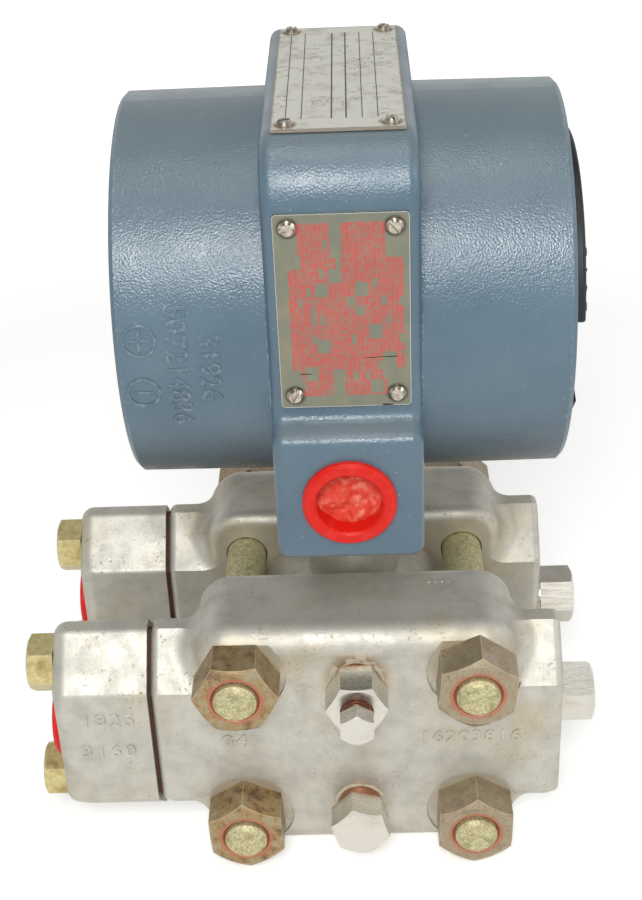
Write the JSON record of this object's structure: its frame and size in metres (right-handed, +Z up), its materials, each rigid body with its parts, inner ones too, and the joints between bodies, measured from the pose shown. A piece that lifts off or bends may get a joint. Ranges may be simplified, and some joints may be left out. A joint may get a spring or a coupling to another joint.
{
  "type": "differential pressure transmitter",
  "caption": "Two-wire industrial transmitter: a round cast housing with screw-in end covers on a bolted pressure cell, with vent valves and side pipe connectors.",
  "frame": {"origin": "middle of the whole object's footprint, on the surface that the process covers stand on", "axes": "+Z up; the process connectors point to -X; the notice plate and the front conduit plug face -Y"},
  "size_m": [0.1732, 0.14, 0.2367],
  "materials": {
    "blue_grey_enamel": "baked enamel with a fine orange-peel texture over cast aluminium",
    "black_enamel": "semi-gloss black enamel",
    "seal_rubber": "moulded rubber",
    "cast_stainless": "satin, bead-blasted casting",
    "bright_stainless": "turned and milled, bright",
    "plated_nut": "yellow-passivated zinc, tarnished brown",
    "plated_bolt": "yellow-passivated zinc",
    "stud_steel": "plated, speckled",
    "red_plastic": "moulded polyethylene",
    "etched_plate": "satin, etched and filled",
    "plate_screw_steel": "bright, a little tarnished",
    "gasket_fibre": "dark red-brown fibre sheet",
    "white_gasket": "fluoroplastic ring",
    "foil_stainless": "rolled foil",
    "black_phenolic": "moulded phenolic",
    "brass": "turned",
    "board_laminate": "varnished glass laminate",
    "can_aluminium": "drawn can",
    "blue_plastic": "moulded"
  },
  "bodies": {
    "transmitter_body": {"amplifier_board": "board_laminate", "board_capacitors": "can_aluminium", "board_screws": "brass", "board_standoffs": "brass", "calibration_board": "board_laminate", "cover_studs": "stud_steel", "data_plate": "etched_plate", "data_plate_screws": "plate_screw_steel", "front_conduit_plug": "red_plastic", "front_connector_bolts": "plated_bolt", "front_connector_gasket": "gasket_fibre", "front_cover_gasket": "white_gasket", "front_diaphragm": "foil_stainless", "front_drain_plug": "bright_stainless", "front_nuts": "plated_nut", "front_port_plug": "red_plastic", "front_process_connector": "cast_stainless", "front_process_cover": "cast_stainless", "front_side_plug": "bright_stainless", "front_vent_plug": "bright_stainless", "housing_casting": "blue_grey_enamel", "neck_seal": "seal_rubber", "notice_plate": "etched_plate", "notice_plate_screws": "plate_screw_steel", "rear_conduit_plug": "red_plastic", "rear_connector_bolts": "plated_bolt", "rear_connector_gasket": "gasket_fibre", "rear_cover_gasket": "white_gasket", "rear_diaphragm": "foil_stainless", "rear_drain_plug": "bright_stainless", "rear_nuts": "plated_nut", "rear_port_plug": "red_plastic", "rear_process_connector": "cast_stainless", "rear_process_cover": "cast_stainless", "rear_side_plug": "bright_stainless", "rear_vent_plug": "bright_stainless", "sensor_capsule": "cast_stainless", "span_potentiometer": "blue_plastic", "terminal_block": "black_phenolic", "terminal_block_screws": "brass", "terminal_screws": "brass", "wall_standoffs": "brass", "zero_potentiometer": "blue_plastic"},
    "terminal_cover_ring": {"terminal_cover_seal": "seal_rubber"},
    "terminal_end_cover": {"terminal_cover": "black_enamel"},
    "electronics_cover_ring": {"electronics_cover_seal": "seal_rubber"},
    "electronics_end_cover": {"electronics_cover": "black_enamel"},
    "front_vent": {"front_vent_screw": "bright_stainless"},
    "rear_vent": {"rear_vent_screw": "bright_stainless"},
    "zero_trim": {"zero_adjuster": "brass"},
    "span_trim": {"span_adjuster": "brass"}
  },
  "joints": [
    {"name": "electronics_cover_lift", "type": "slide", "parent": "transmitter_body", "child": "electronics_cover_ring", "axis": [1, 0, 0], "range_m": [0, 0.0116]},
    {"name": "electronics_cover_turn", "type": "hinge", "parent": "electronics_cover_ring", "child": "electronics_end_cover", "pos_m": [0.07245, 0, 0.1754], "axis": [1, 0, 0], "range_deg": [0, 2070]},
    {"name": "terminal_cover_lift", "type": "slide", "parent": "transmitter_body", "child": "terminal_cover_ring", "axis": [-1, 0, 0], "range_m": [0, 0.0116]},
    {"name": "terminal_cover_turn", "type": "hinge", "parent": "terminal_cover_ring", "child": "terminal_end_cover", "pos_m": [-0.04615, 0, 0.1754], "axis": [-1, 0, 0], "range_deg": [0, 2070]},
    {"name": "front_vent_turn", "type": "hinge", "parent": "transmitter_body", "child": "front_vent", "pos_m": [0.01315, -0.048, 0.066], "axis": [0, -1, 0], "range_deg": [0, 720]},
    {"name": "rear_vent_turn", "type": "hinge", "parent": "transmitter_body", "child": "rear_vent", "pos_m": [0.01315, 0.048, 0.066], "axis": [0, 1, 0], "range_deg": [0, 720]},
    {"name": "zero_trim_turn", "type": "hinge", "parent": "transmitter_body", "child": "zero_trim", "pos_m": [0.04685, -0.009, 0.1924], "axis": [1, 0, 0], "range_deg": [-135, 135]},
    {"name": "span_trim_turn", "type": "hinge", "parent": "transmitter_body", "child": "span_trim", "pos_m": [0.04685, 0.009, 0.1924], "axis": [1, 0, 0], "range_deg": [-135, 135]}
  ],
  "couplings": [
    {"joint": "electronics_cover_lift", "follows": "electronics_cover_turn", "m_per_rad": 0.00031831},
    {"joint": "terminal_cover_lift", "follows": "terminal_cover_turn", "m_per_rad": 0.00031831}
  ]
}
